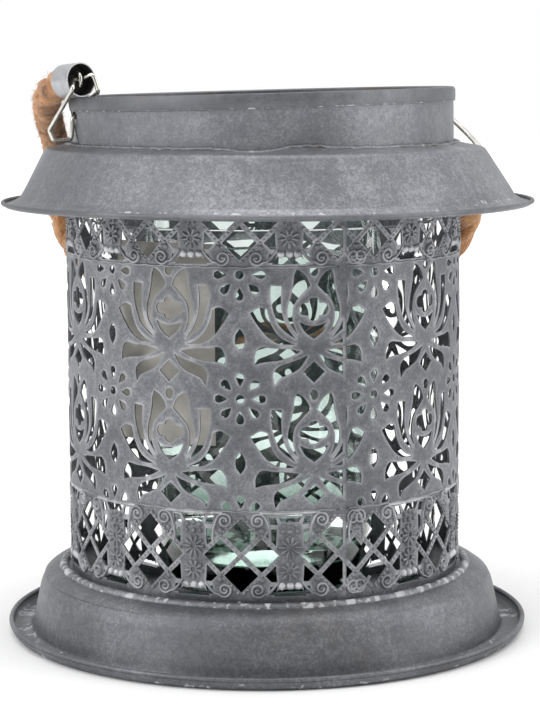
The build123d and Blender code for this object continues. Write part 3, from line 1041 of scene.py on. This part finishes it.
def route_points():
    curve = bpy.data.curves.new("route", "CURVE")
    curve.dimensions = "3D"
    curve.resolution_u = 24
    spline = curve.splines.new("NURBS")
    spline.points.add(len(ROPE_ROUTE) - 1)
    for point, place in zip(spline.points, ROPE_ROUTE):
        point.co = (*place, 1)
    spline.order_u = 3
    spline.use_endpoint_u = True
    holder = bpy.data.objects.new("route", curve)
    bpy.context.scene.collection.objects.link(holder)
    bpy.context.view_layer.update()
    graph = bpy.context.evaluated_depsgraph_get()
    mesh = bpy.data.meshes.new_from_object(holder.evaluated_get(graph))
    line = [v.co.copy() for v in mesh.vertices]
    bpy.data.objects.remove(holder)
    return line


def even(line, step):
    """Points in even steps along a line, and a steady frame at each."""
    lengths = [0.0]
    for a, b in zip(line, line[1:]):
        lengths.append(lengths[-1] + (b - a).length)
    count = int(lengths[-1] / step)
    points, k = [], 0
    for i in range(count + 1):
        goal = lengths[-1] * i / count
        while k < len(lengths) - 2 and lengths[k + 1] < goal:
            k += 1
        share = (goal - lengths[k]) / max(1e-9, lengths[k + 1] - lengths[k])
        points.append(line[k].lerp(line[k + 1], share))
    frames = []
    side = None
    for i, point in enumerate(points):
        along = (points[min(i + 1, count)] - points[max(i - 1, 0)]).normalized()
        if side is None:
            side = along.orthogonal().normalized()
        side = (side - along * side.dot(along)).normalized()
        frames.append((point / MM, along, side, along.cross(side)))
    return frames, lengths[-1]


def build_rope():
    line = route_points()
    frames, length = even(line, ROPE_STEP * MM)
    pile = Pile()
    groove_shade = []
    around = 18
    for strand in range(3):
        points = []
        for i, (point, along, side, up) in enumerate(frames):
            way = i * ROPE_STEP
            turn = 2 * pi * (way / STRAND_LAY + strand / 3)
            out = side * cos(turn) + up * sin(turn)
            middle = point + out * STRAND_OUT
            ahead = out.cross(along).normalized()
            for k in range(around):
                t = 2 * pi * k / around
                lump = noise.noise(Vector((way * 0.22, k * 0.7, strand * 9)))
                r = STRAND_R + 0.05 * cos(5 * t + way / 2.6) + 0.3 * lump
                place = middle + (out * cos(t) + ahead * sin(t)) * r
                points.append(place)
                # How deep in the grooves between strands a point lies, for the painted shade there.
                deep = (place - point).length
                groove_shade.append(max(0.0, min(1.0, (4.9 - deep) / 1.6)))
        count = len(frames)
        faces = ring_faces(count, around)
        faces.append(tuple(reversed(range(around))))
        faces.append(tuple((count - 1) * around + k for k in range(around)))
        pile.take(points, faces)
    material = jute()
    rope = piece("rope_strands", pile.points, pile.faces, material, None, 60, {"groove_shade": groove_shade})
    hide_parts("handle_rope")
    fuzz = Pile()
    hairs = 5200
    count = len(frames)
    for _ in range(hairs):
        i = int(rng.integers(3, count - 4))
        point, along, side, up = frames[i]
        t = rng.uniform(0, 2 * pi)
        out = side * cos(t) + up * sin(t)
        start = point + out * (ROPE / 2 - 0.7)
        lean = along * rng.choice((-1, 1)) * rng.uniform(0.4, 1.6) + out * rng.uniform(0.25, 1.0)
        lean = lean + along.cross(out) * rng.uniform(-0.8, 0.8)
        lean.normalize()
        reach = rng.uniform(0.8, 3.0)
        thick = rng.uniform(0.05, 0.1)
        across = lean.cross(out).normalized()
        other = lean.cross(across).normalized()
        bend = (along * rng.uniform(-1, 1) + along.cross(out) * rng.uniform(-1, 1) - out * 0.5) * 0.35
        points = []
        for share in (0.0, 0.5, 1.0):
            middle = start + lean * reach * share + bend * reach * share**2
            r = thick * (1 - 0.6 * share)
            for j in range(3):
                a = 2 * pi * j / 3
                points.append(middle + across * r * cos(a) + other * r * sin(a))
        fuzz.take(points, ring_faces(3, 3) + [(2, 1, 0), (6, 7, 8)])
    marks = {"groove_shade": [0.0] * len(fuzz.points)}
    hair = piece("rope_fuzz", fuzz.points, fuzz.faces, material, None, 60, marks)
    for made in (rope, hair):
        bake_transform(made)


# ---- camera, light, floor ------------------------------------------------------------------------
SENSOR, PICTURE_HEIGHT, FOCAL_PIXELS = 36, 720, 2171.5
CAMERA_PLACE = (0.00233, -0.8151, 0.2100)
CAMERA_DOWN, CAMERA_ROLL = 7.62, -0.25  # degrees


def build_camera():
    data = bpy.data.cameras.new("camera")
    data.lens = FOCAL_PIXELS * SENSOR / PICTURE_HEIGHT
    data.sensor_width = SENSOR
    data.clip_start = 0.05
    camera = bpy.data.objects.new("camera", data)
    bpy.context.scene.collection.objects.link(camera)
    camera.location = CAMERA_PLACE
    pitch = Matrix.Rotation(radians(90 - CAMERA_DOWN), 4, "X")
    camera.rotation_euler = (pitch @ Matrix.Rotation(radians(CAMERA_ROLL), 4, "Z")).to_euler()
    bpy.context.scene.camera = camera


def area_light(name, place, target, wide, tall, power, colour=(1, 1, 1)):
    data = bpy.data.lights.new(name, "AREA")
    data.shape = "RECTANGLE"
    data.size, data.size_y, data.energy, data.color = wide, tall, power, colour
    light = bpy.data.objects.new(name, data)
    bpy.context.scene.collection.objects.link(light)
    light.location = place
    light.rotation_euler = (Vector(target) - Vector(place)).to_track_quat("-Z", "Y").to_euler()


def build_studio():
    half = 6
    points = [(-half, -half, 0), (half, -half, 0), (half, half, 0), (-half, half, 0)]
    mesh = bpy.data.meshes.new("floor")
    mesh.from_pydata(points, [], [(0, 1, 2, 3)])
    mesh.materials.append(floor_paper())
    floor = bpy.data.objects.new("floor", mesh)
    bpy.context.scene.collection.objects.link(floor)
    world = bpy.data.worlds.new("studio")
    bpy.context.scene.world = world
    world.use_nodes = True
    tree = world.node_tree
    sky = tree.nodes["Background"]
    place = tree.nodes.new("ShaderNodeTexCoord")
    split = tree.nodes.new("ShaderNodeSeparateXYZ")
    tree.links.new(place.outputs["Generated"], split.inputs[0])
    back = tree.nodes.new("ShaderNodeMapRange")
    back.interpolation_type = "SMOOTHSTEP"
    for index, value in ((1, -0.95), (2, 0.25), (3, 0.28), (4, 1.0)):
        back.inputs[index].default_value = value
    tree.links.new(split.outputs[1], back.inputs[0])
    tint = tree.nodes.new("ShaderNodeCombineColor")
    for index in range(3):
        tree.links.new(back.outputs[0], tint.inputs[index])
    tree.links.new(tint.outputs[0], sky.inputs[0])
    sky.inputs[1].default_value = 1.0
    area_light("key_left", (-1.3, -0.9, 0.9), (0, 0, 0.1), 1.0, 1.2, 14)
    area_light("fill_right", (1.5, -0.3, 0.7), (0, 0, 0.1), 0.8, 1.2, 7)
    area_light("top", (0.1, -0.1, 1.7), (0, 0, 0.1), 1.4, 1.4, 14)
    bpy.context.scene.view_settings.view_transform = "Standard"


build_camera()
build_rope()
build_base()
build_roof()
build_collar()
build_lace()
build_ornament()
build_glass()
build_metalwork()
build_studio()
